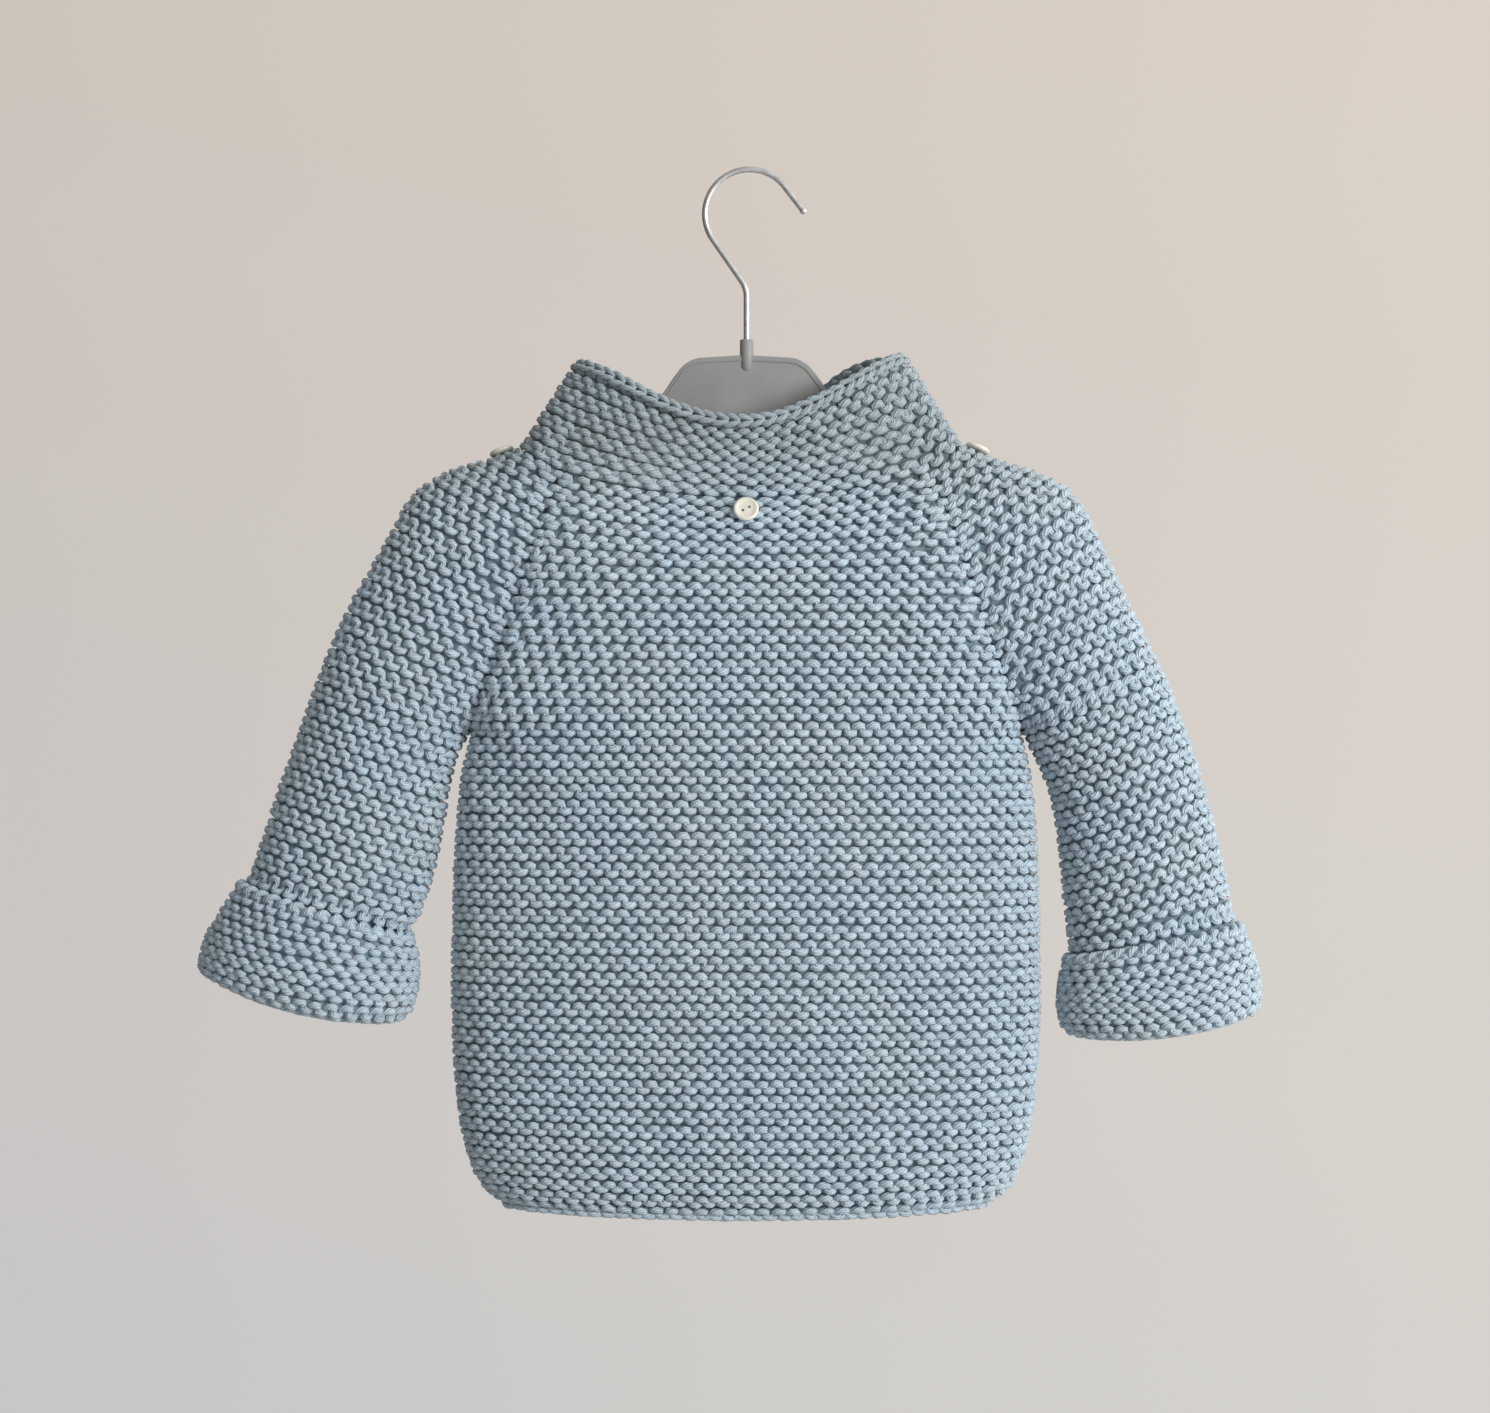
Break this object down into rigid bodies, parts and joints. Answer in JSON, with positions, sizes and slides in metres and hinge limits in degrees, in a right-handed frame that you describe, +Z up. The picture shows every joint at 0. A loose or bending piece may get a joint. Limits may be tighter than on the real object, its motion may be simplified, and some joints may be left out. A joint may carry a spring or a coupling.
{
  "type": "knitted baby coat on hanger",
  "caption": "Hand-knitted garter-stitch baby coat with raglan sleeves, stand collar and turned-back cuffs, hung by its shoulders on a child's plastic hanger with a wire hook",
  "frame": {"origin": "inside of the hook's top, on the wire, where the hanger hangs from a rail or nail", "axes": "+Z up, +X to the wearer's right, +Y from the coat's back to its front"},
  "size_m": [0.5039, 0.0729, 0.4955],
  "materials": {
    "knit": "matt wool knit",
    "button": "satin ivory",
    "hanger_plastic": "fine moulded grain",
    "steel": "bright drawn wire"
  },
  "bodies": {
    "root": {"back": "knit", "left_front": "knit", "right_front": "knit", "left_sleeve": "knit", "right_sleeve": "knit", "left_cuff": "knit", "right_cuff": "knit", "collar": "knit", "nape_button": "button", "left_shoulder_button": "button", "right_shoulder_button": "button", "front_button_1": "button", "front_button_2": "button", "front_button_3": "button", "front_button_4": "button", "hanger": "hanger_plastic", "hanger_hook": "steel"}
  },
  "joints": []
}
